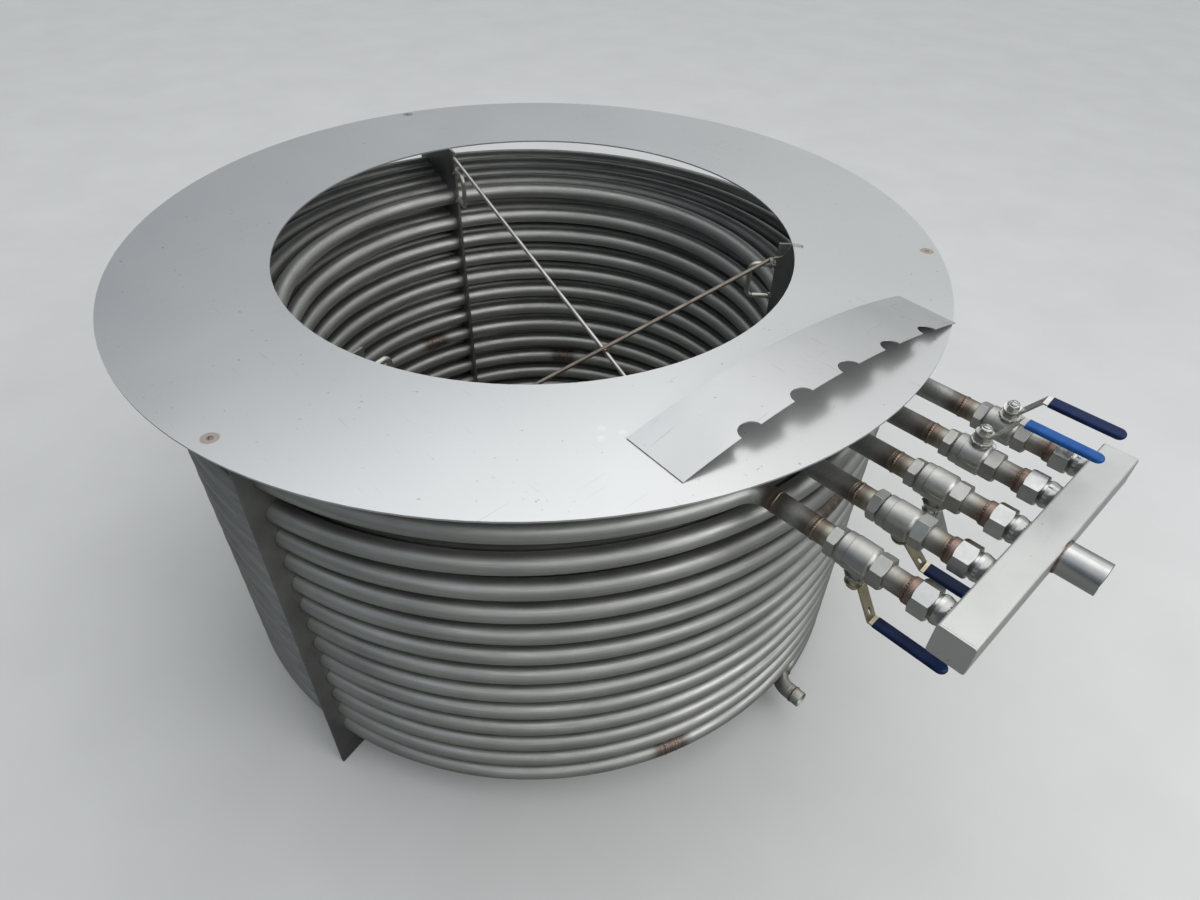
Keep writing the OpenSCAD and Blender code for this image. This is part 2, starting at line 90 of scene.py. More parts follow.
# %% [markdown]
# ## The nodes of a finish
# A finish is a small net of nodes. Most are noise, a ramp that turns the noise
# into tones, or a change of scale that makes the grain run one way. With a short
# helper for each of them, a finish reads like a recipe.

# %% Helpers for noise, ramps and grain
def node(tree, kind, **inputs):
    """Adds a shader node and sets the sockets that are named."""
    made = tree.nodes.new(kind)
    for socket, value in inputs.items():
        made.inputs[socket].default_value = value
    return made


def ramp(tree, factor, stops):
    """Adds a colour ramp with (position, colour) stops, fed by a factor socket."""
    made = tree.nodes.new("ShaderNodeValToRGB")
    bar = made.color_ramp
    while len(bar.elements) < len(stops):
        bar.elements.new(0.5)
    for element, (place, colour) in zip(bar.elements, stops):
        element.position = place
        element.color = (*colour, 1.0)
    tree.links.new(factor, made.inputs["Fac"])
    return made


def grey(value):
    """A colour with red, green and blue alike."""
    return (value, value, value)


def noise(tree, where, scale, detail=3.0, roughness=0.55):
    """Adds a noise texture that is read at a place."""
    made = node(tree, "ShaderNodeTexNoise", Scale=scale, Detail=detail, Roughness=roughness)
    tree.links.new(where, made.inputs["Vector"])
    return made


def stretched(tree, where, scale):
    """The same place, scaled differently along X, Y and Z, for grain that runs one way."""
    made = node(tree, "ShaderNodeMapping")
    made.inputs["Scale"].default_value = scale
    tree.links.new(where, made.inputs["Vector"])
    return made.outputs["Vector"]


print("node helpers:", [helper.__name__ for helper in (node, ramp, grey, noise, stretched)])

# %% [markdown]
# ## Layers and sums inside a finish
# Tones are laid over one another by mixing colours, and distances are worked out
# with sums. A value may be a plain number or come from another node, so one
# helper feeds either kind into a socket. A finish can be taken up again later,
# to lay one more layer over it.

# %% Helpers for mixing, sums and layers
def feed(tree, socket, value):
    """Links a socket to another one, or sets it to a plain value."""
    if isinstance(value, bpy.types.NodeSocket):
        tree.links.new(value, socket)
    else:
        socket.default_value = value


def maths(tree, operation, *values):
    """Adds a math node, fed by sockets or numbers, and gives its result."""
    made = tree.nodes.new("ShaderNodeMath")
    made.operation = operation
    for socket, value in zip(made.inputs, values):
        feed(tree, socket, value)
    return made.outputs[0]


def mixed(tree, amount, base, other, blend="MIX"):
    """Mixes one colour with another by an amount from 0 to 1."""
    made = tree.nodes.new("ShaderNodeMix")
    made.data_type = "RGBA"
    made.blend_type = blend
    for name, value in (("Factor", amount), ("A", base), ("B", other)):
        feed(tree, made.inputs[name], value)
    return made.outputs["Result"]


def multiplied(tree, base, shade):
    """Multiplies one colour socket by another."""
    return mixed(tree, 1.0, base, shade, "MULTIPLY")


def new_finish(name):
    """Starts a material, and gives it with its tree, its shader and the object's own coordinates."""
    finish = bpy.data.materials.new(name)
    finish.use_nodes = True
    tree = finish.node_tree
    place = tree.nodes.new("ShaderNodeTexCoord").outputs["Object"]
    return finish, tree, tree.nodes["Principled BSDF"], place


def carry_on(finish):
    """Gives what a finish is made of, so that another layer can be laid over it."""
    tree = finish.node_tree
    surface = tree.nodes["Principled BSDF"]
    place = next(n for n in tree.nodes if n.type == "TEX_COORD").outputs["Object"]
    return tree, surface, place, surface.inputs["Base Color"].links[0].from_socket


print("layer helpers:", [helper.__name__ for helper in
                         (feed, maths, mixed, multiplied, new_finish, carry_on)])

# %% [markdown]
# ## Steel that is not one flat colour
# Rolled and drawn steel looks alive because its grain, its stains and its gloss
# change over a few centimetres. One helper builds that from noise in the
# object's own metres: a cloud for the tone, a finer one for the gloss and a
# stretched one for the grain. Making it once keeps all steels in one family,
# and each piece then gets its own numbers.

# %% The recipe for steel, with sheet, plate and bar
def steel(name, dark, light, gloss, cloud=4.0, grain=(60.0, 60.0, 60.0), grain_depth=0.1,
          fleck=0.0, scratch=0.0, soft_edge=0.0, metallic=1.0):
    """Metal with a cloudy tone, uneven gloss and grain. gloss is (smoothest, roughest)."""
    finish, tree, surface, place = new_finish(name)
    surface.inputs["Metallic"].default_value = metallic
    clouds = noise(tree, place, cloud, detail=4.0)
    tone = ramp(tree, clouds.outputs["Fac"], [(0.3, dark), (0.7, light)])
    colour = tone.outputs["Color"]
    if fleck:
        dots = noise(tree, place, 120.0, detail=1.0)
        spots = ramp(tree, dots.outputs["Fac"], [(0.20, grey(1.0 - fleck)), (0.25, grey(1.0))])
        colour = multiplied(tree, colour, spots.outputs["Color"])
    if scratch:
        for scale in ((260.0, 9.0, 40.0), (14.0, 210.0, 40.0)):
            marks = noise(tree, stretched(tree, place, scale), 1.0, detail=1.0)
            lines = ramp(tree, marks.outputs["Fac"], [(0.22, grey(1.0 - scratch)), (0.27, grey(1.0))])
            colour = multiplied(tree, colour, lines.outputs["Color"])
    tree.links.new(colour, surface.inputs["Base Color"])
    wear = noise(tree, place, cloud * 3.3, detail=5.0)
    rough = ramp(tree, wear.outputs["Fac"], [(0.3, grey(gloss[0])), (0.7, grey(gloss[1]))])
    tree.links.new(rough.outputs["Color"], surface.inputs["Roughness"])
    lines = noise(tree, stretched(tree, place, grain), 8.0, detail=2.0)
    bump = node(tree, "ShaderNodeBump", Strength=grain_depth, Distance=0.0004)
    tree.links.new(lines.outputs["Fac"], bump.inputs["Height"])
    if soft_edge:
        edge = node(tree, "ShaderNodeBevel", Radius=soft_edge * MM)
        edge.samples = 6
        tree.links.new(edge.outputs["Normal"], bump.inputs["Normal"])
    tree.links.new(bump.outputs["Normal"], surface.inputs["Normal"])
    return finish


ring_sheet = steel("ring_sheet", (0.63, 0.635, 0.63), (0.68, 0.68, 0.67), (0.27, 0.33), cloud=1.3,
                   grain=(220.0, 14.0, 220.0), grain_depth=0.06, fleck=0.35, scratch=0.10, metallic=0.75)
plate_steel = steel("plate_steel", (0.20, 0.20, 0.195), (0.31, 0.31, 0.30), (0.44, 0.60), cloud=9.0,
                    grain=(40.0, 40.0, 160.0), grain_depth=0.15, fleck=0.3)
bar_steel = steel("bar_steel", (0.46, 0.44, 0.40), (0.62, 0.60, 0.55), (0.28, 0.42), cloud=22.0,
                  grain=(200.0, 200.0, 20.0), grain_depth=0.08)
# The short cross rod's dark grey-brown tone paints in the shade it lies in, deep inside the coil.
shade_dark_bar = steel("shade_dark_bar", (0.15, 0.13, 0.11), (0.27, 0.235, 0.20), (0.40, 0.55), cloud=30.0,
                 grain=(120.0, 20.0, 60.0), grain_depth=0.15)
print("sheet, plate and bars:", [finish.name for finish in (ring_sheet, plate_steel, bar_steel, shade_dark_bar)])

# %% [markdown]
# ## Heat tint beside a weld
# Stainless steel turns straw, brown and then blue-grey where a weld has heated
# it. The colour depends only on how far a spot is from the weld, so each tube
# carries that distance as a mark on its points, and the finish reads it through
# a colour ramp. Noise is added to the distance, because real tint has a ragged
# edge.

# %% Helper for tubes with heat tint
STREAKS = (210.0, 5.0, 210.0)


def mark(tree, name):
    """Reads a mark that a piece carries on its points."""
    made = tree.nodes.new("ShaderNodeAttribute")
    made.attribute_name = name
    return made.outputs["Fac"]


def tint(name, dark, light, gloss, hues, streak=0.75):
    """Tube steel with streaks along the tube and heat tint near the welds."""
    finish = steel(name, dark, light, gloss, cloud=7.0, grain_depth=0.05, metallic=0.9)
    tree, surface, place, base = carry_on(finish)
    gloss_socket = surface.inputs["Roughness"].links[0].from_socket
    ragged = noise(tree, place, 55.0, detail=3.0).outputs["Fac"]
    gap = maths(tree, "SUBTRACT", maths(tree, "MULTIPLY_ADD", ragged, 0.30, mark(tree, "weld_gap")), 0.15)
    colours = ramp(tree, gap, hues)
    amount = ramp(tree, gap, [(0.0, grey(0.95)), (0.45, grey(0.80)), (0.95, grey(0.0))])
    split = tree.nodes.new("ShaderNodeSeparateXYZ")
    tree.links.new(place, split.inputs[0])
    flat = tree.nodes.new("ShaderNodeCombineXYZ")
    tree.links.new(split.outputs["X"], flat.inputs["X"])
    tree.links.new(split.outputs["Y"], flat.inputs["Y"])
    radius = tree.nodes.new("ShaderNodeVectorMath")
    radius.operation = "LENGTH"
    tree.links.new(flat.outputs[0], radius.inputs[0])
    run = tree.nodes.new("ShaderNodeCombineXYZ")
    tree.links.new(radius.outputs["Value"], run.inputs["X"])
    tree.links.new(mark(tree, "along"), run.inputs["Y"])
    tree.links.new(split.outputs["Z"], run.inputs["Z"])
    streaks = noise(tree, stretched(tree, run.outputs[0], STREAKS), 1.0, detail=5.0, roughness=0.7)
    shade = ramp(tree, streaks.outputs["Fac"], [(0.30, grey(streak)), (0.62, grey(1.0))])
    drawn = multiplied(tree, base, shade.outputs["Color"])
    tinted = mixed(tree, amount.outputs["Color"], drawn, colours.outputs["Color"])
    tree.links.new(tinted, surface.inputs["Base Color"])
    duller = ramp(tree, streaks.outputs["Fac"], [(0.35, grey(0.10)), (0.65, grey(0.0))])
    tree.links.new(maths(tree, "ADD", gloss_socket, duller.outputs["Color"]), surface.inputs["Roughness"])
    return finish


print("streaks, counted along X, Y and Z:", STREAKS)

# %% [markdown]
# ## Four kinds of tube
# The hues beside a weld are lists: the colour changes from the weld outwards,
# and each place on the real object was heated in its own way. The coil is duller
# than the pipes. Its three middle layers get a darker tone that paints in the
# shade they lie in, hidden between the outer and the inner layer.

# %% The tubes
PIPE_SIDE = [(0.00, (0.09, 0.07, 0.06)), (0.13, (0.20, 0.14, 0.11)), (0.24, (0.11, 0.085, 0.07)),
             (0.45, (0.15, 0.125, 0.105)), (0.70, (0.23, 0.21, 0.185)), (0.95, (0.34, 0.34, 0.32))]
VALVE_SIDE = [(0.00, (0.11, 0.085, 0.07)), (0.14, (0.26, 0.18, 0.14)), (0.28, (0.20, 0.165, 0.125)),
              (0.46, (0.36, 0.34, 0.25)), (0.70, (0.43, 0.42, 0.36)), (0.95, (0.48, 0.475, 0.44))]
TAIL_SIDE = [(0.00, (0.12, 0.08, 0.065)), (0.14, (0.36, 0.23, 0.18)), (0.30, (0.24, 0.17, 0.135)),
             (0.50, (0.26, 0.225, 0.185)), (0.72, (0.37, 0.35, 0.31)), (0.95, (0.45, 0.44, 0.41))]
coil_tube = tint("coil_tube", (0.42, 0.42, 0.40), (0.54, 0.54, 0.515), (0.38, 0.50), PIPE_SIDE)
# A darker copy of the coil's steel: painted shade for the hidden middle layers.
shade_painted_tube = tint("shade_painted_tube", (0.26, 0.26, 0.25), (0.36, 0.36, 0.345), (0.40, 0.52), PIPE_SIDE)
pipe_tube = tint("pipe_tube", (0.38, 0.375, 0.345), (0.50, 0.49, 0.45), (0.30, 0.42), VALVE_SIDE)
tail_tube = tint("tail_tube", (0.38, 0.375, 0.345), (0.50, 0.49, 0.45), (0.30, 0.42), TAIL_SIDE)
print("tubes:", [finish.name for finish in (coil_tube, shade_painted_tube, pipe_tube, tail_tube)])

# %% [markdown]
# ## Castings, levers and polished parts
# The recipe for steel also gives bright strip, dull castings, levers, polished
# nuts and beads of weld, only with other tones, gloss and grain. Two levers have
# a straw tone on the real object, so they get a finish of their own.

# %% Castings, levers and polished parts
strip_sheet = steel("strip_sheet", (0.52, 0.525, 0.525), (0.60, 0.60, 0.595), (0.34, 0.42), cloud=3.5,
                    grain=(14.0, 220.0, 220.0), grain_depth=0.06, fleck=0.3, scratch=0.15, metallic=0.8)
cast_steel = steel("cast_steel", (0.40, 0.395, 0.37), (0.53, 0.525, 0.495), (0.34, 0.48), cloud=28.0,
                   grain=(150.0, 150.0, 150.0), grain_depth=0.45, soft_edge=1.2)
lever_steel = steel("lever_steel", (0.52, 0.51, 0.48), (0.70, 0.69, 0.66), (0.24, 0.38), cloud=40.0,
                    grain=(30.0, 240.0, 240.0), grain_depth=0.10, soft_edge=0.6)
tanned_lever = steel("tanned_lever", (0.46, 0.40, 0.27), (0.66, 0.59, 0.42), (0.26, 0.40), cloud=40.0,
                     grain=(30.0, 240.0, 240.0), grain_depth=0.10, soft_edge=0.6)
polished_steel = steel("polished_steel", (0.50, 0.50, 0.485), (0.62, 0.62, 0.60), (0.17, 0.27), cloud=30.0,
                       grain=(260.0, 40.0, 40.0), grain_depth=0.06, soft_edge=0.8)
header_steel = steel("header_steel", (0.60, 0.60, 0.585), (0.69, 0.69, 0.675), (0.36, 0.46), cloud=9.0,
                     grain=(240.0, 20.0, 240.0), grain_depth=0.08, fleck=0.3, scratch=0.12, soft_edge=1.0,
                     metallic=0.8)
bead_steel = steel("bead_steel", (0.13, 0.10, 0.08), (0.36, 0.30, 0.24), (0.30, 0.50), cloud=140.0,
                   grain=(80.0, 80.0, 80.0), grain_depth=0.30)
print("other steels:", [finish.name for finish in (strip_sheet, cast_steel, lever_steel, tanned_lever,
                                                   polished_steel, header_steel, bead_steel)])


# %% [markdown]
# ## Spots burnt into a sheet
# Where the ring is welded to a plate, the heat has left small rings of colour in
# the sheet. They depend only on the distance to a few known spots, so the finish
# measures that distance itself and lays the rings over the bare sheet.

# %% Spots burnt into the ring
def burnt(finish, spots, reach, colours, strength):
    """Mixes rings of colour round spots (in mm) into a finish, out to a reach in mm."""
    tree, surface, place, base = carry_on(finish)
    nearest = None
    for spot in spots:
        gap = tree.nodes.new("ShaderNodeVectorMath")
        gap.operation = "DISTANCE"
        gap.inputs[1].default_value = tuple(c * MM for c in spot)
        tree.links.new(place, gap.inputs[0])
        distance = gap.outputs["Value"]
        nearest = distance if nearest is None else maths(tree, "MINIMUM", nearest, distance)
    share = maths(tree, "DIVIDE", nearest, reach * MM)
    uneven = noise(tree, place, 900.0 / reach, detail=2.0).outputs["Fac"]
    ragged = maths(tree, "MULTIPLY_ADD", uneven, 0.25, share)
    hue = ramp(tree, ragged, colours)
    amount = ramp(tree, ragged, strength)
    coloured = mixed(tree, amount.outputs["Color"], base, hue.outputs["Color"])
    tree.links.new(coloured, surface.inputs["Base Color"])


RING_TOP = 853.0
PLUG_WELDS = [at_angle(r, az, RING_TOP) for r, az in ((722.0, -75.6), (728.0, 43.7), (734.0, 166.5))]
burnt(ring_sheet, PLUG_WELDS, 16.0,
      [(0.0, (0.42, 0.36, 0.31)), (0.35, (0.20, 0.13, 0.10)), (0.55, (0.46, 0.38, 0.32)),
       (0.80, (0.34, 0.24, 0.19)), (1.05, (0.55, 0.50, 0.45))],
      [(0.0, grey(0.9)), (0.8, grey(0.75)), (1.15, grey(0.0))])
SMUDGES = [at_angle(r, az, RING_TOP) for r, az in ((588.0, -31.0), (601.0, -28.6), (607.0, -31.5))]
burnt(ring_sheet, SMUDGES, 11.0, [(0.0, (0.80, 0.80, 0.77)), (1.0, (0.74, 0.74, 0.72))],
      [(0.30, grey(0.55)), (0.85, grey(0.0))])
print("spots on the ring:", len(PLUG_WELDS) + len(SMUDGES))


# %% [markdown]
# ## Soft grips
# The levers are dipped in soft plastic, which leaves a slightly wavy skin with a
# low sheen. It isn't metal, so it gets its own small recipe: a deep colour, a
# fine orange-peel bump, a weak shine and a very thin coat.

# %% Helper and finishes for the grips
def dipped(name, dark, light):
    """Soft plastic with a cloudy deep colour and a fine bump."""
    finish, tree, surface, place = new_finish(name)
    tone = ramp(tree, noise(tree, place, 60.0).outputs["Fac"], [(0.3, dark), (0.7, light)])
    tree.links.new(tone.outputs["Color"], surface.inputs["Base Color"])
    worn = ramp(tree, noise(tree, place, 120.0).outputs["Fac"], [(0.3, grey(0.30)), (0.7, grey(0.46))])
    tree.links.new(worn.outputs["Color"], surface.inputs["Roughness"])
    peel = noise(tree, place, 420.0, detail=1.0)
    bump = node(tree, "ShaderNodeBump", Strength=0.25, Distance=0.0003)
    tree.links.new(peel.outputs["Fac"], bump.inputs["Height"])
    tree.links.new(bump.outputs["Normal"], surface.inputs["Normal"])
    surface.inputs["Specular IOR Level"].default_value = 0.18
    surface.inputs["Coat Weight"].default_value = 0.04
    return finish


grip_navy = dipped("grip_navy", (0.003, 0.012, 0.055), (0.007, 0.024, 0.092))
grip_blue = dipped("grip_blue", (0.010, 0.080, 0.30), (0.018, 0.115, 0.39))
print("grips:", grip_navy.name, grip_blue.name)

# %% [markdown]
# ## Dressing the solids
# Shapes that are right already, such as the ring, the plates, the valve bodies
# and the header, are kept as they are and only get a finish. A table of piece
# and finish is the plainest way, and a piece that is missing in it stops the
# script, so none stays bare.

# %% Give every solid its finish
FINISH_OF = {
    "ring_plate": ring_sheet, "cover_strip": strip_sheet,
    "support_plate_front": plate_steel, "support_plate_right": plate_steel,
    "support_plate_back": plate_steel,
    # The short rod's dark finish is painted shade.
    "lifting_handles": bar_steel, "cross_rod_long": bar_steel, "cross_rod_short": shade_dark_bar,
    "coil_layer_1_outer": coil_tube, "coil_layer_2": coil_tube, "coil_layer_3": coil_tube,
    "coil_layer_4": coil_tube, "coil_layer_5_inner": coil_tube,
    "top_elbows": pipe_tube, "connection_pipes": pipe_tube, "low_outlet": pipe_tube,
    "valve_inlet_nipples": pipe_tube, "valve_outlet_nipples": pipe_tube, "union_tails": pipe_tube,
    "union_nuts": polished_steel, "union_necks": polished_steel, "outlet_stub": polished_steel,
    "header_box": header_steel, "header_end_caps": header_steel,
}
for number in range(1, 6):
    FINISH_OF[f"valve_body_{number}"] = cast_steel
    FINISH_OF[f"valve_stem_{number}"] = polished_steel
    FINISH_OF[f"valve_lever_{number}"] = tanned_lever if number < 3 else lever_steel
    FINISH_OF[f"lever_grip_{number}"] = grip_blue if number == 4 else grip_navy
for name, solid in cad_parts.items():
    solid.data.materials.clear()
    solid.data.materials.append(FINISH_OF[name])
print("dressed", len(FINISH_OF), "solids")

# %% [markdown]
# ## The wound tubes
# Each layer is one long tube: thirteen levels of helix, an elbow at the top and
# a straight pipe under the ring's rim. A sweep along one path gives an unbroken
# highlight. The path is worked out from the same sizes as the solids: radius,
# pitch and the heights where the tube crosses the first plate.

# %% Sizes of the coil
TUBE_R = 16.85
COIL_R, LAYER_STEP, PITCH, LEVELS = 676.0, 45.25, 53.0, 13
FIRST_AZ, SECTOR = -75.0, 120.0
REGULAR_TOP, RAISED_TOP, PIPE_Z = 737.0, 753.0, 758.0
OUTER_RISE, INNER_RISE = 28.0, 12.0
BEND_R = 38.0
PIPE_Y = [-150.0, -50.0, 50.0, 150.0, 250.0]
PIPE_END, VALVE_X, VALVE_END = 767.0, 790.0, 876.0
OUT_NIPPLE_END, NUT_X, HEADER_X = 905.0, 915.0, 960.0
LOW_OUTLET_Y, LOW_OUTLET_END = 68.0, 741.0
FIRST_JOINT = np.array([700.0, PIPE_Y[0], PIPE_Z])
ARCS = 3 * LEVELS - 1
ALONG_PIPE = (1, 0, 0)


def on_pipe(x, number):
    """Point at a distance along one of the five pipes, counted from 0."""
    return np.array([x, PIPE_Y[number], PIPE_Z])


def layer_r(layer):
    """Middle radius of a layer, counted from 0 on the outside."""
    return COIL_R - layer * LAYER_STEP


def elbow_az(layer):
    """Angle at which a layer leaves the coil, so that its bend ends on its own pipe."""
    return math.degrees(math.asin((PIPE_Y[layer] - BEND_R) / (layer_r(layer) + BEND_R)))


LOW_AZ = math.degrees(math.asin((LOW_OUTLET_Y + BEND_R) / (COIL_R + BEND_R)))
LOW_LEAD = FIRST_AZ + SECTOR - LOW_AZ
print("elbows leave at", [round(elbow_az(k), 1) for k in range(5)], "low outlet at", round(LOW_AZ, 1))


# %% [markdown]
# ## A tube along a path
# A circle is carried along the path and stays square to it, and each circle is
# joined to the next. Doing it by hand instead of with a bevelled curve lets the
# tube carry two marks on its points: how far along it a spot lies, for the
# streaks, and how far from the next weld, for the heat tint.

# %% Helper for a tube along a path
TINT_REACH = 40.0


def sweep(name, path, finish, radius=TUBE_R, sides=20, welds=(), body=STATIC):
    """Sweeps a circle along a path in mm. welds are points in mm that heat tint spreads from."""
    path = np.asarray(path, float)
    ahead = np.gradient(path, axis=0)
    ahead /= np.linalg.norm(ahead, axis=1)[:, None]
    up = np.tile([0.0, 0.0, 1.0], (len(path), 1))
    flat = np.abs(ahead[:, 2]) > 0.9
    up[flat] = [1.0, 0.0, 0.0]
    side = np.cross(ahead, up)
    side /= np.linalg.norm(side, axis=1)[:, None]
    up = np.cross(side, ahead)
    turn = np.linspace(0, 2 * math.pi, sides, endpoint=False)
    ring = (side[:, None] * np.cos(turn)[:, None] + up[:, None] * np.sin(turn)[:, None])
    verts = (path[:, None] + ring * radius).reshape(-1, 3)
    faces = []
    for k in range(len(path) - 1):
        a, b = k * sides, (k + 1) * sides
        for s in range(sides):
            t = (s + 1) % sides
            faces.append((a + s, a + t, b + t, b + s))
    faces.append(tuple(range(sides - 1, -1, -1)))
    last = (len(path) - 1) * sides
    faces.append(tuple(range(last, last + sides)))
    steps = np.linalg.norm(np.diff(path, axis=0), axis=1)
    along = np.concatenate([[0.0], np.cumsum(steps)]) * MM
    gap = np.full(len(path), 1.0)
    for weld in welds:
        off = np.linalg.norm(path - np.asarray(weld), axis=1) / TINT_REACH
        gap = np.minimum(gap, off)
    marks = {"along": np.repeat(along, sides), "weld_gap": np.repeat(gap, sides)}
    return keep_mesh(name, verts, faces, finish, body=body, marks=marks)


print("heat tint reaches", TINT_REACH, "mm from a weld")

# %% [markdown]
# ## How the tube climbs
# A helix climbs evenly, but the last turn is lifted to reach the elbow under the
# ring. The height is therefore known at each plate, and a smooth curve through
# those heights gives every point between them without a kink.

# %% Heights of the tube
def crossings(layer):
    """Angles back from the first plate, and the tube's height at each plate."""
    turned = -SECTOR * np.arange(ARCS + 1)
    heights = REGULAR_TOP + PITCH * turned / 360.0
    rise = OUTER_RISE + (INNER_RISE - OUTER_RISE) * layer / 4
    heights[0] = RAISED_TOP
    heights[1] += rise
    heights[2] += rise / 2
    return turned, heights


def climb(layer, turned):
    """Height for an angle back from the first plate, on a smooth line through the crossings."""
    knots, heights = crossings(layer)
    slope = np.gradient(heights, knots)
    k = int(min(max(-turned // SECTOR, 0), ARCS - 1)) if turned > -ARCS * SECTOR else ARCS
    if k == ARCS:
        return heights[-1] + slope[-1] * (turned - knots[-1])
    t = (knots[k] - turned) / SECTOR
    return ((2 * t ** 3 - 3 * t ** 2 + 1) * heights[k] + (3 * t ** 2 - 2 * t ** 3) * heights[k + 1]
            - SECTOR * ((t ** 3 - 2 * t ** 2 + t) * slope[k] + (t ** 3 - t ** 2) * slope[k + 1]))


LOW_Z = climb(0, -ARCS * SECTOR - LOW_LEAD)
print("foot of the outer layer at height", round(float(LOW_Z), 1))

# %% [markdown]
# ## From the foot to the valve
# One path holds the helix, the lead up to the pipe's height, the bend outwards
# and the straight run under the rim. Its steps are wide on the even turns and
# fine near a weld, where the marks on the points change quickly.

# %% Paths of the five layers
def layer_path(layer, dense_at=(), step=2.5):
    """Centre line of one layer, from its foot to the elbow, then along its pipe."""
    r, top_az = layer_r(layer), elbow_az(layer)
    foot = -ARCS * SECTOR - LOW_LEAD
    angles = np.arange(foot, 0.0, step)
    extra = [a + d for a in dense_at for d in np.arange(-4.0, 4.01, 0.16)]
    angles = np.unique(np.round(np.concatenate([angles, extra, [0.0]]), 3))
    points = [at_angle(r, FIRST_AZ + a, climb(layer, a)) for a in angles if foot <= a <= 0]
    lead = top_az - FIRST_AZ
    for a in np.linspace(0, lead, 26)[1:]:
        points.append(at_angle(r, FIRST_AZ + a, RAISED_TOP + (PIPE_Z - RAISED_TOP) * a / lead))
    centre = at_angle(r + BEND_R, top_az, PIPE_Z)
    for a in np.linspace(top_az + 180, 90, 18)[1:]:
        points.append(centre + at_angle(BEND_R, a, 0))
    start = points[-1][0]
    coarse, fine = np.arange(start + 6, PIPE_END - 44, 12.0), np.arange(PIPE_END - 42, PIPE_END + 0.1, 2.0)
    for x in np.concatenate([coarse, fine]):
        points.append(on_pipe(x, layer))
    return np.array(points)


print("plain path of the outer layer:", len(layer_path(0)), "points")

# %% [markdown]
# ## Layers with welded lengths
# Two places on the outer layer and two on the inner one have been cut and welded
# again: a short length between two butt welds, brown from the heat. They are
# known by angle and height, and the path is made finer there. Each sweep takes
# the place of its solid turns, elbow and pipe.

# %% Sweep the five layers
# Where the outer and the inner layer have been welded: angle and height
OUTER_WELDS = [(-19.9, 102.0), (5.0, 578.0)]
INNER_WELDS = [(176.4, 332.0), (134.1, 236.0)]
BUTT_GAP = 22.0


def turned_at(layer, azimuth, height):
    """Angle back from the first crossing for the level that lies nearest to a height."""
    back = (azimuth - FIRST_AZ) % 360.0 - 360.0
    options = [back - 360.0 * k for k in range(LEVELS)]
    return min(options, key=lambda a: abs(climb(layer, a) - height))


butt_welds = []
for layer in range(len(PIPE_Y)):
    spots = {0: OUTER_WELDS, 4: INNER_WELDS}.get(layer, [])
    turned = [turned_at(layer, *spot) for spot in spots]
    welds = []
    for t in turned:
        for side in (-1, 1):
            a = t + side * math.degrees(BUTT_GAP / 2 / layer_r(layer))
            point = at_angle(layer_r(layer), FIRST_AZ + a, climb(layer, a))
            welds.append(point)
            butt_welds.append((point, FIRST_AZ + a))
    welds.append(on_pipe(PIPE_END, layer))
    if layer == 0:
        welds.append(FIRST_JOINT)
    # The middle layers take the darker finish, which paints in their shade.
    finish, sides = (coil_tube, 24) if layer in (0, 4) else (shade_painted_tube, 14)
    path = layer_path(layer, dense_at=turned)
    tube = sweep(f"coil_tube_{layer + 1}", path, finish, sides=sides, welds=welds)
    solid = [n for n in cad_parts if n.startswith(f"coil_layer_{layer + 1}")]
    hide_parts(*solid, "top_elbows", "connection_pipes")
    length = float(np.linalg.norm(np.diff(path, axis=0), axis=1).sum()) * MM
    print(tube.name, "length", round(length, 1), "m", len(tube.data.polygons), "faces")

# %% [markdown]
# ## Short pipes at the valves
# Between the bends and the header each pipe is cut and welded twice. The short
# lengths are sweeps too, so that they carry the distance to the weld and show
# the same straw and brown bands as in the real run.

# %% Nipples and tails
TAIL_R, TAIL_WELD = 19.5, np.array([8.0, 0, 0])
for k in range(len(PIPE_Y)):
    line = [on_pipe(x, k) for x in np.arange(PIPE_END, VALVE_X + 0.1, 1.15)]
    inlet = sweep(f"inlet_nipple_{k + 1}", line, pipe_tube, sides=24, welds=[line[0]])
    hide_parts("valve_inlet_nipples")
    line = [on_pipe(x, k) for x in np.arange(VALVE_END, OUT_NIPPLE_END + 0.1, 1.16)]
    outlet = sweep(f"outlet_nipple_{k + 1}", line, tail_tube, sides=24, welds=[line[-1] + TAIL_WELD])
    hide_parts("valve_outlet_nipples")
    line = [on_pipe(x, k) for x in np.arange(OUT_NIPPLE_END, NUT_X + 0.1, 1.0)]
    tail = sweep(f"union_tail_{k + 1}", line, tail_tube, radius=TAIL_R, sides=24, welds=[line[0]])
    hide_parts("union_tails")
print("short pipes:", 3 * len(PIPE_Y))


# %% [markdown]
# ## Turned shapes
# Beads, collars, domes and open pipe ends are all round about one line. A list
# of distances and radii, turned about that line, makes them, as on a lathe.

# %% Helper for turned pieces
def turned_piece(profile, origin, axis, sides=48):
    """Points and faces of a profile of (distance, radius) pairs turned round an axis."""
    axis = np.asarray(axis, float) / np.linalg.norm(axis)
    out = np.cross(axis, [0.0, 0.0, 1.0] if abs(axis[2]) < 0.9 else [1.0, 0.0, 0.0])
    out = out / np.linalg.norm(out)
    up = np.cross(out, axis)
    around = np.linspace(0, 2 * math.pi, sides, endpoint=False)
    verts = [origin + axis * far + r * (out * math.cos(t) + up * math.sin(t))
             for far, r in profile for t in around]
    faces = []
    for k in range(len(profile) - 1):
        for a in range(sides):
            b = (a + 1) % sides
            faces.append((k * sides + a, k * sides + b, (k + 1) * sides + b, (k + 1) * sides + a))
    return verts, faces


print("faces round a plain band:", len(turned_piece([(0, 1), (1, 1)], np.zeros(3), ALONG_PIPE)[1]))

# %% [markdown]
# ## The low outlet
# At the foot of the outer layer one bend leads out to an open end. The bend is a
# sweep and the open end is turned, so that the bore and its thin wall show.

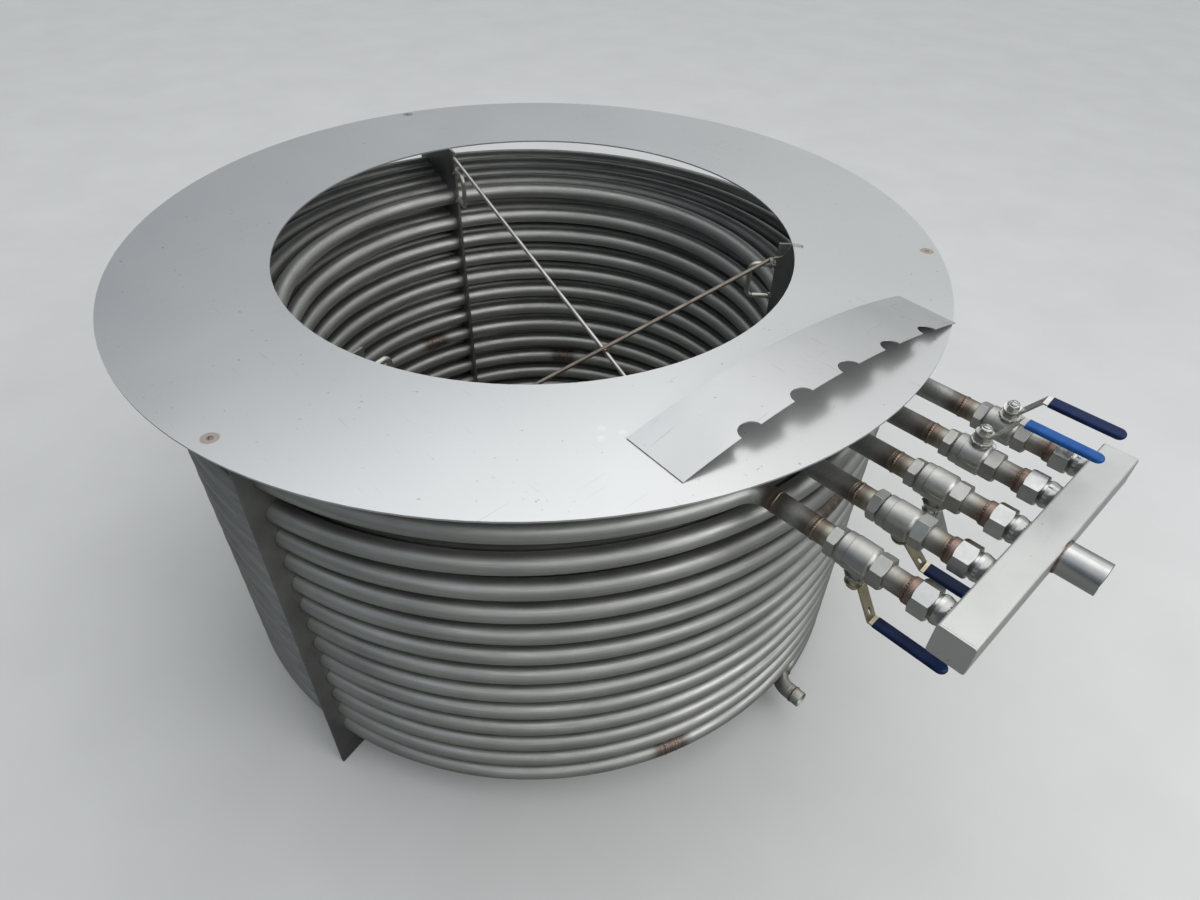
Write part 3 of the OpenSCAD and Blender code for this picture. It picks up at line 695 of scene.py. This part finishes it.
# %% Low outlet
low_centre = at_angle(COIL_R + BEND_R, LOW_AZ, LOW_Z)
bend = [low_centre + at_angle(BEND_R, a, 0) for a in np.linspace(LOW_AZ + 180, 270, 26)]
BORE_LEN, BORE_R = 28.0, 14.85
BORE_START = LOW_OUTLET_END - BORE_LEN
line = bend + [np.array([x, LOW_OUTLET_Y, LOW_Z]) for x in np.linspace(bend[-1][0] + 1.5, BORE_START, 4)]
low_bend = sweep("low_outlet_bend", line, pipe_tube, sides=24, welds=[line[0]])
mouth = turned_piece([(0.0, TUBE_R), (27.3, TUBE_R), (BORE_LEN, 16.3), (BORE_LEN, 15.3), (27.4, BORE_R),
                      (0.8, BORE_R), (0.8, 0.1)], np.array([BORE_START, LOW_OUTLET_Y, LOW_Z]), ALONG_PIPE)
unmarked = {"weld_gap": np.full(len(mouth[0]), 1.0), "along": np.full(len(mouth[0]), 0.1)}
low_mouth = keep_mesh("low_outlet_mouth", *mouth, pipe_tube, marks=unmarked)
for piece in (low_bend, low_mouth):
    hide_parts("low_outlet")
print("low outlet at height", round(float(LOW_Z), 1))

# %% [markdown]
# ## Weld beads
# A butt weld is a low ring of overlapping ripples. Here each bead is a half
# round band whose height swings with the ripples. It stands proud of the tube
# and breaks the highlight where the real one does.

# %% Helper for ring beads
def bead_ring(centre, axis, radius, width=5.0, height=1.4, ripples=26, seed=0):
    """Points and faces of a rippled band round a tube."""
    axis = np.asarray(axis, float) / np.linalg.norm(axis)
    out = np.cross(axis, [0.0, 0.0, 1.0])
    out = out / np.linalg.norm(out)
    up = np.cross(out, axis)
    around, across = 104, 7
    rng = np.random.default_rng(seed)
    phase = rng.uniform(0, 6.28)
    verts, faces = [], []
    for a in range(around):
        t = 2 * math.pi * a / around
        for b in range(across):
            s = b / (across - 1) * 2 - 1
            arch = math.sqrt(max(0.0, 1 - s * s))
            wave = 0.75 + 0.25 * math.cos(ripples * t + phase + 1.6 * arch)
            r = radius - 0.2 + height * arch * wave
            lean = 0.5 * math.sin(t * 3 + phase)
            verts.append(centre + axis * (s * width / 2 + lean)
                         + r * (out * math.cos(t) + up * math.sin(t)))
    for a in range(around):
        for b in range(across - 1):
            p, q = a * across + b, (a + 1) % around * across + b
            faces.append((p, p + 1, q + 1, q))
    return verts, faces


def gather(parts):
    """Joins several (points, faces) into one."""
    verts, faces = [], []
    for v, f in parts:
        base = len(verts)
        verts.extend(v)
        faces.extend(tuple(base + i for i in face) for face in f)
    return verts, faces


print("faces in one bead:", len(bead_ring(np.zeros(3), ALONG_PIPE, TUBE_R)[1]))

# %% [markdown]
# ## Where the beads go
# Each pipe is welded to the short pipe before its valve, to its union and to the
# header, and thin ridges lie beside the first two. The bend and mouth of the low
# outlet, the outlet stub and the mended places on the coil have beads as well.

# %% Beads on pipes and coil
HEADER_W, STUB_R, HEADER_Y, NECK_R = 50.0, 24.15, 48.0, 17.6
beads = []


def pipe_bead(x, number, radius=TUBE_R, **looks):
    """Adds a bead round one of the five pipes."""
    beads.append(bead_ring(on_pipe(x, number), ALONG_PIPE, radius, **looks))


for k in range(len(PIPE_Y)):
    pipe_bead(PIPE_END, k, seed=k)
    pipe_bead(OUT_NIPPLE_END, k, width=6.0, height=2.0, seed=k + 9)
    pipe_bead(HEADER_X - 1.5, k, NECK_R, width=4.0, height=1.8, seed=k + 20)
    for off in (-7.5, -4.0, 4.5):
        pipe_bead(PIPE_END + off, k, width=1.1, height=0.5, seed=k + 60)
    for off, radius in ((-5.5, TUBE_R), (5.0, TUBE_R + 2.6)):
        pipe_bead(OUT_NIPPLE_END + off, k, radius, width=1.1, height=0.5, seed=k + 70)
beads.append(bead_ring(FIRST_JOINT, ALONG_PIPE, TUBE_R, seed=31))
beads.append(bead_ring(bend[0], at_angle(1, LOW_AZ + 90, 0.0), TUBE_R, width=6.0, height=1.8, seed=33))
beads.append(bead_ring(np.array([BORE_START + 9.0, LOW_OUTLET_Y, LOW_Z]), ALONG_PIPE, TUBE_R,
                       width=6.0, height=1.9, seed=34))
beads.append(bead_ring(np.array([HEADER_X + HEADER_W + 1.2, HEADER_Y, PIPE_Z]), ALONG_PIPE, STUB_R,
                       width=5.0, height=1.7, ripples=40, seed=35))
for n, (point, azimuth) in enumerate(butt_welds):
    beads.append(bead_ring(point, at_angle(1, azimuth + 90, 0.0), TUBE_R, width=4.0, height=1.2, seed=40 + n))
bead_piece = keep_mesh("ring_beads", *gather(beads), bead_steel)
print("ring beads:", len(beads), "faces", len(bead_piece.data.polygons))

# %% [markdown]
# ## Tack welds and plug welds
# Where two bars meet, a short burst of weld leaves a small uneven lump. A round
# lump of many faces, pushed in and out by smooth noise and flattened on one
# side, gives that shape, and no two of them come out alike.

# %% Helper for lumps of weld
def lump(centre, size, seed, squash=(1.0, 1.0, 1.0)):
    """Points and faces of an uneven lump, about size mm across."""
    bm = bmesh.new()
    bmesh.ops.create_icosphere(bm, subdivisions=4, radius=size / 2)
    rng = np.random.default_rng(seed)
    shift = Vector(rng.uniform(-50, 50, 3))
    for vert in bm.verts:
        swell = 1 + 0.35 * mathutils_noise.noise(vert.co * (2.4 / size) + shift)
        vert.co = Vector([c * swell * q for c, q in zip(vert.co, squash)])
    verts = [np.array(vert.co) + centre for vert in bm.verts]
    faces = [tuple(v.index for v in face.verts) for face in bm.faces]
    bm.free()
    return verts, faces


print("faces in one lump:", len(lump(np.zeros(3), 8.0, 0)[1]))

# %% [markdown]
# ## Where the lumps go
# Both arms of each lifting handle are tacked to their plate, above and below.
# The rods are tacked where they cross, and the ring's plug welds stand up a
# little in the middle of their burnt spots.

# %% Tacks on handles, rods and ring
PLATE_IN, HANDLE_TOP, HANDLE_SPAN = 457.0, 806.0, 68.0
tacks = []
for n, azimuth in enumerate((FIRST_AZ, FIRST_AZ + SECTOR, FIRST_AZ + 2 * SECTOR)):
    for arm, height in enumerate((HANDLE_TOP, HANDLE_TOP - HANDLE_SPAN)):
        high = at_angle(PLATE_IN - 2, azimuth, height + 4)
        low = at_angle(PLATE_IN - 2, azimuth + 0.7, height - 3)
        tacks.append(lump(high, 9.0, 10 * n + arm, (1.1, 1.0, 0.8)))
        tacks.append(lump(low, 7.0, 10 * n + arm + 5, (1.1, 1.0, 0.8)))
for n, spot in enumerate(PLUG_WELDS):
    tacks.append(lump(spot - np.array([0, 0, 0.6]), 8.0, 40 + n, (1.0, 1.0, 0.32)))
CROSSING = np.array([223.8, -31.3, 717.2])
tacks.append(lump(CROSSING, 12.0, 50, (1.0, 1.2, 0.9)))
tacks.append(lump(CROSSING + np.array([5.0, 3.0, 1.0]), 8.0, 51))
tack_piece = keep_mesh("tack_welds", *gather(tacks), bead_steel)
print("tacks:", len(tacks), "faces", len(tack_piece.data.polygons))

# %% [markdown]
# ## Small shapes on the valves
# A cast body shows the line where the two halves of its mould met, and the nut
# on the stem is domed and has the stem's slotted, threaded tip in its middle.
# These shapes are small and stand on the valve's own axes, so one helper turns
# them from the valve's frame into the frame of the whole piece.

# %% Helper for places on a valve
STEM_AZ = [180.0, 160.0, 180.0, 0.0, -14.0]
STEM_X, LEVER_TOP, STEM_R = VALVE_X + 47.0, 47.0, 6.0


def on_valve(number, points):
    """Turns points (x along the pipe, y across, z up the stem) into places in mm."""
    turn = math.radians(STEM_AZ[number - 1])
    x, y, z = np.asarray(points, float).T
    return np.column_stack([x, PIPE_Y[number - 1] + y * math.cos(turn) + z * math.sin(turn),
                            PIPE_Z - y * math.sin(turn) + z * math.cos(turn)])


print("middle of valve 5's stem:", on_valve(5, [(STEM_X, 0.0, LEVER_TOP)])[0].round(1))

# %% [markdown]
# ## The line of the mould
# The two halves of a mould leave a fine rib along both sides of the casting. It
# follows the body's outline, so thin rods from corner to corner of that outline
# draw it.

# %% Helper for mould lines
BODY_LINE = [(VALVE_X + 15.5, 20.9), (VALVE_X + 19.0, 24.1), (VALVE_X + 30.6, 24.1), (VALVE_X + 31.4, 25.0),
             (VALVE_X + 62.0, 25.0), (VALVE_X + 66.0, 21.6)]


def mould_line(number):
    """Points and faces of the ribs along both sides of a valve's body."""
    seams = []
    for side in (-1, 1):
        path = on_valve(number, [(x, side * (r - 0.1), 0.0) for x, r in BODY_LINE])
        for a, b in zip(path, path[1:]):
            far = np.linalg.norm(b - a) + 0.2
            bar = [(-0.2, 0.0), (-0.2, 0.45), (far, 0.45), (far, 0.0)]
            seams.append(turned_piece(bar, a, b - a, sides=8))
    return gather(seams)


print("corners in a mould line:", len(BODY_LINE))

# %% [markdown]
# ## The tip of the stem
# The stem's tip comes through a domed nut. A profile that goes in and out stands
# for the thread, and two half discs with a gap between them leave the slot.

# %% Helper for dome, thread and slot
NUT_TOP, SLOT_LOW, SLOT_HIGH = LEVER_TOP + 6.2, LEVER_TOP + 9.9, LEVER_TOP + 10.9
TIP_R, SLOT_EDGE = 5.6, 0.24
DOME = [(0.0, 8.9), (0.8, 8.8), (1.6, 8.1), (2.3, 6.9), (2.6, 5.9)]


def stem_tip(number):
    """Points and faces of the dome, the thread and the slotted tip on a valve's stem."""
    base, tip = on_valve(number, [(STEM_X, 0, NUT_TOP), (STEM_X, 0, NUT_TOP + 1)])
    up = tip - base
    dome = turned_piece(DOME, base, up)
    ridges = [(1.0 + 0.35 * k, STEM_R + (0.28 if k % 2 else 0.0)) for k in range(8)]
    thread = turned_piece(ridges, base, up, sides=32)
    halves = []
    for side in (-1, 1):
        angles = np.linspace(SLOT_EDGE, math.pi - SLOT_EDGE, 20)
        edge = [(STEM_X + TIP_R * math.cos(a), side * TIP_R * math.sin(a)) for a in angles]
        low = [(x, y, SLOT_LOW) for x, y in edge]
        high = [(STEM_X + (x - STEM_X) * 0.93, y * 0.95, SLOT_HIGH) for x, y in edge]
        count = len(edge)
        ring = [(k, (k + 1) % count, (k + 1) % count + count, k + count) for k in range(count)]
        halves.append((list(on_valve(number, low + high)), ring + [tuple(range(count, 2 * count))]))
    return gather([dome, thread] + halves)


print("slot between heights", SLOT_LOW, "and", SLOT_HIGH)

# %% [markdown]
# ## The collar at the gland
# Where the stem enters the body, the casting ends in a low collar with notches
# round its rim, and a small knob stands beside it. The dome and the tip turn
# with the lever, while the mould lines and the collar stay with the body.

# %% Small shapes on all five valves
GLAND_Z, NOTCH_R, NOTCH_LOW, NOTCH_HIGH, NOTCHES = 29.5, 15.4, 30.0, 32.5, 8
KNOB_AT = (VALVE_X + 61.0, 9.0, 22.5)
RIM = [(0.0, 12.0), (0.0, 15.2), (0.5, 15.6), (3.0, 15.6), (3.5, 15.2), (3.5, 12.0)]
NOTCH = [(0.0, 0.0), (0.0, 1.5), (2.5, 1.5), (2.5, 0.0)]


def gland_collar(number):
    """Points and faces of the notched collar and the knob on a valve's body."""
    foot, above = on_valve(number, [(STEM_X, 0, GLAND_Z), (STEM_X, 0, GLAND_Z + 1)])
    collar = [turned_piece(RIM, foot, above - foot)]
    for k in range(NOTCHES):
        a = 2 * math.pi * (k + 0.5) / NOTCHES
        x, y = STEM_X + NOTCH_R * math.cos(a), NOTCH_R * math.sin(a)
        low, high = on_valve(number, [(x, y, NOTCH_LOW), (x, y, NOTCH_HIGH)])
        collar.append(turned_piece(NOTCH, low, high - low, sides=12))
    collar.append(lump(on_valve(number, [KNOB_AT])[0], 11.0, 80 + number))
    return gather(collar)


for number in range(1, 6):
    rider = STATIC if number == 3 else f"lever_{number}"
    mould = keep_mesh(f"mould_lines_{number}", *mould_line(number), cast_steel)
    cap = keep_mesh(f"stem_nut_details_{number}", *stem_tip(number), polished_steel, body=rider)
    gland = keep_mesh(f"gland_collar_{number}", *gland_collar(number), cast_steel)
    print("valve", number, "faces:", [len(piece.data.polygons) for piece in (mould, cap, gland)])

# %% [markdown]
# ## Seams of the header
# The end caps are welded on and ground flush. What is left is a fine line round
# the box, drawn here as a thin bead that follows the rounded square.

# %% Header seams
def square_loop(half, corner, per_corner=8):
    """Points round a rounded square in the XZ plane, about its middle."""
    points = []
    for k in range(4):
        mid = math.radians(90 * k + 45)
        centre = (half - corner) * math.sqrt(2)
        for a in np.linspace(mid - math.pi / 4, mid + math.pi / 4, per_corner):
            points.append((centre * math.cos(mid) + corner * math.cos(a),
                           centre * math.sin(mid) + corner * math.sin(a)))
    return points


HEADER_HALF, CAP_THICK = 243.0, 3.0
seam_parts = []
for side in (-1, 1):
    middle = np.array([HEADER_X + HEADER_W / 2, HEADER_Y + side * (HEADER_HALF - CAP_THICK), PIPE_Z])
    loop = [middle + np.array([x, 0.0, z]) for x, z in square_loop(HEADER_W / 2 - 0.25, 4.0)]
    for n, (a, b) in enumerate(zip(loop, loop[1:] + loop[:1])):
        axis = b - a
        far = float(np.linalg.norm(axis))
        steps = max(2, int(far / 2.0))
        rng = np.random.default_rng(n)
        uneven = [(far * k / steps, 0.55 + rng.uniform(-0.12, 0.12)) for k in range(steps + 1)]
        seam_parts.append(turned_piece(uneven, a, axis, sides=8))
seam_piece = keep_mesh("header_seams", *gather(seam_parts), header_steel)
print("header seams:", len(seam_piece.data.polygons), "faces")

# %% [markdown]
# ## The twist of tie wire
# A thin wire is wound round the right handle and the short rod and then runs up
# over the ring's inner edge. Two strands that wind round one another are drawn
# as two thin sweeps whose paths circle a common middle line.

# %% Tie wire
WIRE_R = 0.8


def smooth_line(corners, step):
    """Points along a smooth line through corners (a cardinal spline)."""
    corners = np.asarray(corners, float)
    padded = np.vstack([2 * corners[0] - corners[1], corners, 2 * corners[-1] - corners[-2]])
    points = []
    for p0, p1, p2, p3 in zip(padded, padded[1:], padded[2:], padded[3:]):
        count = max(2, int(np.linalg.norm(p2 - p1) / step))
        for t in np.linspace(0, 1, count, endpoint=False):
            points.append(0.5 * (2 * p1 + (p2 - p0) * t + (2 * p0 - 5 * p1 + 4 * p2 - p3) * t ** 2
                                 + (3 * p1 - p0 - 3 * p2 + p3) * t ** 3))
    points.append(corners[-1])
    return np.array(points)


loops = []
for t in np.linspace(0, 3.2 * 2 * math.pi, 90):
    middle = np.array([317.0, 311.0, 811.0]) + at_angle(0.9 * t / 3, 45, 0)
    loops.append(middle + 7.6 * (math.cos(t) * at_angle(1, 135, 0) + math.sin(t) * np.array([0, 0, 1.35])))
wire_run = smooth_line([loops[-1], at_angle(465, 44.5, 826), at_angle(474, 43.9, 843),
                        at_angle(479, 43.6, 854.2), at_angle(492, 43.3, 855.2),
                        at_angle(499, 42.9, 854.4)], 1.0)
travel = np.linspace(0, 1, len(wire_run))
strands = []
for k in range(2):
    turn = 2 * math.pi * 5 * travel + math.pi * k
    spread = 0.85 * np.minimum(1, travel * 8)
    strands.append(wire_run + np.outer(spread * np.cos(turn), at_angle(1, 135, 0))
                   + np.outer(spread * np.sin(turn), [0, 0, 1.0]))
sweep("tie_wire_a", np.vstack([loops, strands[0]]), bar_steel, radius=WIRE_R, sides=8)
sweep("tie_wire_b", strands[1], bar_steel, radius=WIRE_R, sides=8)
print("tie wire:", len(loops) + 2 * len(wire_run), "steps")

# %% [markdown]
# ## A plain pale floor
# The floor only catches the shadow. Steel mirrors what is round it, so a bright
# floor would wash out the undersides of the tubes. The floor is therefore pale
# where the camera sees it and darker in reflections and bounced light.

# %% Floor
floor_finish, tree, surface, place = new_finish("pale_floor")
floor_tone = ramp(tree, noise(tree, place, 3.0).outputs["Fac"],
                  [(0.3, (0.66, 0.66, 0.65)), (0.7, (0.70, 0.70, 0.69))])
seen = tree.nodes.new("ShaderNodeLightPath").outputs["Is Camera Ray"]
unseen = maths(tree, "SUBTRACT", 1.0, seen)
dimmed = mixed(tree, unseen, floor_tone.outputs["Color"], (0.32, 0.33, 0.32, 1.0), "MULTIPLY")
tree.links.new(dimmed, surface.inputs["Base Color"])
surface.inputs["Roughness"].default_value = 0.9
bm = bmesh.new()
bmesh.ops.create_grid(bm, x_segments=1, y_segments=1, size=20.0)
floor_mesh = bpy.data.meshes.new("floor")
bm.to_mesh(floor_mesh)
bm.free()
floor = bpy.data.objects.new("floor", floor_mesh)
floor_mesh.materials.append(floor_finish)
bpy.context.scene.collection.objects.link(floor)
floor.location.z = -0.0005
print("floor:", tuple(floor.dimensions))

# %% [markdown]
# ## A soft room and two lamps
# Large even lamps give long clean highlights on the tubes. The room itself is
# bright overhead and darker low down and on the left, so that round tubes show
# a light side and a dark side. What the camera sees behind the piece is a plain
# pale tone that lights nothing.

# %% Light
scene = bpy.context.scene
scene.view_settings.view_transform = "Standard"
world = bpy.data.worlds.new("soft_room")
world.use_nodes = True
scene.world = world
sky = world.node_tree
outward = sky.nodes.new("ShaderNodeSeparateXYZ")
sky.links.new(sky.nodes.new("ShaderNodeTexCoord").outputs["Generated"], outward.inputs[0])
room = ramp(sky, outward.outputs["Z"],
            [(0.00, (0.30, 0.31, 0.31)), (0.30, (0.42, 0.44, 0.45)), (0.52, (0.60, 0.62, 0.64)),
             (0.68, (0.97, 0.98, 0.98)), (1.00, (1.0, 1.0, 0.99))])
rightward = maths(sky, "ADD", outward.outputs["X"], outward.outputs["Y"])
halved = maths(sky, "MULTIPLY_ADD", rightward, 0.35, 0.5)
aside = ramp(sky, halved, [(0.12, (0.20, 0.22, 0.25)), (0.40, (0.70, 0.73, 0.77)), (0.62, grey(1.0))])
lit = multiplied(sky, room.outputs["Color"], aside.outputs["Color"])
seen = sky.nodes.new("ShaderNodeLightPath").outputs["Is Camera Ray"]
sky.links.new(mixed(sky, seen, lit, (0.60, 0.61, 0.61, 1.0)), sky.nodes["Background"].inputs["Color"])
sky.nodes["Background"].inputs["Strength"].default_value = 1.17


def soft_lamp(name, place, aim, width, power):
    """A wide lamp at a place, aimed at a point, all in metres, with its power in watts."""
    lamp = bpy.data.lights.new(name, "AREA")
    lamp.shape = "RECTANGLE"
    lamp.size, lamp.size_y = width
    lamp.energy = power
    holder = bpy.data.objects.new(name, lamp)
    holder.location = place
    holder.rotation_mode = "QUATERNION"
    holder.rotation_quaternion = (Vector(aim) - Vector(place)).to_track_quat("-Z", "Y")
    scene.collection.objects.link(holder)


soft_lamp("sky_panel", (-0.9, 0.4, 4.2), (0, 0, 0.5), (4.0, 4.0), 30.0)
soft_lamp("side_panel", (3.4, 0.6, 2.4), (0.2, 0, 0.4), (2.2, 2.2), 34.0)

# %% [markdown]
# ## The camera
# The camera stands where it does in the picture, looking down into the ring.
# Three angles, a place and the length of the lens say all of it, and the lens
# comes from the picture's own scale: so many pixels for each unit of slope.

# %% Camera
HEADING, DOWN, ROLL = 136.06, 41.19, -1.56
STAND = (1.0898, -0.8700, 1.528)
FOCAL_PX, FRAME_PX = 788.38, 1200.0
camera_data = bpy.data.cameras.new("camera")
camera = bpy.data.objects.new("camera", camera_data)
scene.collection.objects.link(camera)
scene.camera = camera
camera_data.sensor_width = 36.0
camera_data.lens = FOCAL_PX / FRAME_PX * camera_data.sensor_width
ahead = Vector(at_angle(math.cos(math.radians(DOWN)), HEADING, -math.sin(math.radians(DOWN))))
right = ahead.cross(Vector((0, 0, 1))).normalized()
below = ahead.cross(right)
roll = math.radians(ROLL)
right, below = (math.cos(roll) * right + math.sin(roll) * below,
                math.cos(roll) * below - math.sin(roll) * right)
turn = Matrix((right, -below, -ahead)).transposed().to_4x4()
camera.matrix_world = Matrix.Translation(STAND) @ turn
print("lens", round(camera_data.lens, 2), "mm")
